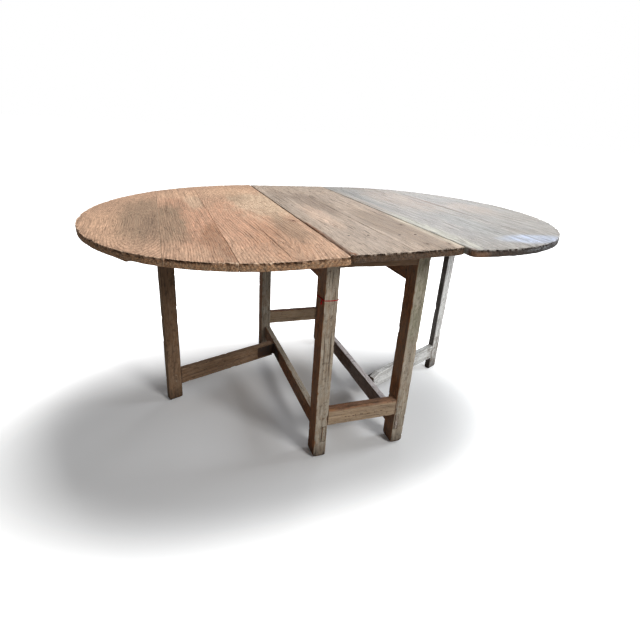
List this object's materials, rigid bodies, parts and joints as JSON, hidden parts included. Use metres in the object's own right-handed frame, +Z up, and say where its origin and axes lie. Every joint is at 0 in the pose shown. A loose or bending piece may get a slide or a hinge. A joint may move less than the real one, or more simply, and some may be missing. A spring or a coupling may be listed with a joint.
{
  "type": "gate-leg table",
  "caption": "Oval drop leaf table: narrow fixed middle on a stretchered frame, two half-round leaves, each held up by a hinged gate leg.",
  "frame": {"origin": "on the floor, under the centre of the open top's outline", "axes": "+X along the top's length towards the right leaf, +Y towards the back, +Z up"},
  "size_m": [1.6485, 1.24, 0.755],
  "materials": {
    "weathered_oak": "bare weathered oak, dry and dusty",
    "warm_pine": "worn orange-brown pine, dull wax",
    "grey_pine": "bleached grey-beige pine, dull",
    "batten_pine": "dark unfinished pine",
    "peg_oak": "end grain of oak pegs",
    "iron": "dark rusted iron",
    "thread": "twisted cotton"
  },
  "bodies": {
    "frame": {"leg_front_left": "weathered_oak", "leg_front_right": "weathered_oak", "leg_back_left": "weathered_oak", "leg_back_right": "weathered_oak", "apron_left": "weathered_oak", "apron_right": "weathered_oak", "end_rail_front": "weathered_oak", "end_rail_back": "weathered_oak", "side_stretcher_left": "weathered_oak", "side_stretcher_right": "weathered_oak", "end_stretcher_front": "weathered_oak", "end_stretcher_back": "weathered_oak", "middle_board_left": "grey_pine", "middle_board_right": "grey_pine", "middle_nails": "iron", "frame_pegs": "peg_oak", "frame_hinge_screws": "iron", "red_thread": "thread", "left_leaf_hinge_fixed_flaps": "iron", "left_leaf_hinge_pins": "iron", "right_leaf_hinge_fixed_flaps": "iron", "right_leaf_hinge_pins": "iron", "left_gate_hinge_fixed_flaps": "iron", "left_gate_hinge_pins": "iron", "right_gate_hinge_fixed_flaps": "iron", "right_gate_hinge_pins": "iron"},
    "left_leaf": {"left_leaf_inner_board": "warm_pine", "left_leaf_centre_board": "warm_pine", "left_leaf_outer_board": "warm_pine", "left_batten_front": "batten_pine", "left_batten_back": "batten_pine", "left_batten_nails": "iron", "left_leaf_hinge_flaps": "iron", "left_leaf_screws": "iron"},
    "right_leaf": {"right_leaf_inner_board": "grey_pine", "right_leaf_outer_board": "grey_pine", "right_batten_front": "batten_pine", "right_batten_back": "batten_pine", "right_batten_nails": "iron", "right_leaf_hinge_flaps": "iron", "right_leaf_screws": "iron"},
    "left_gate": {"left_gate_leg": "weathered_oak", "left_gate_lower_arm": "weathered_oak", "left_gate_upper_arm": "weathered_oak", "left_gate_pegs": "peg_oak", "left_gate_hinge_flaps": "iron", "left_gate_screws": "iron"},
    "right_gate": {"right_gate_leg": "weathered_oak", "right_gate_lower_arm": "weathered_oak", "right_gate_upper_arm": "weathered_oak", "right_gate_pegs": "peg_oak", "right_gate_hinge_flaps": "iron", "right_gate_screws": "iron"}
  },
  "joints": [
    {"name": "left_leaf_lift", "type": "hinge", "parent": "frame", "child": "left_leaf", "pos_m": [-0.16375, 0, 0.729], "axis": [0, 1, 0], "range_deg": [0, 10]},
    {"name": "right_leaf_lift", "type": "hinge", "parent": "frame", "child": "right_leaf", "pos_m": [0.19225, 0, 0.729], "axis": [0, -1, 0], "range_deg": [0, 8]},
    {"name": "left_gate_swing", "type": "hinge", "parent": "frame", "child": "left_gate", "pos_m": [-0.13595, 0.198, 0.3], "axis": [0, 0, -1], "range_deg": [-69, 21]},
    {"name": "right_gate_swing", "type": "hinge", "parent": "frame", "child": "right_gate", "pos_m": [0.16445, -0.151, 0.3], "axis": [0, 0, -1], "range_deg": [-65, 25]}
  ]
}
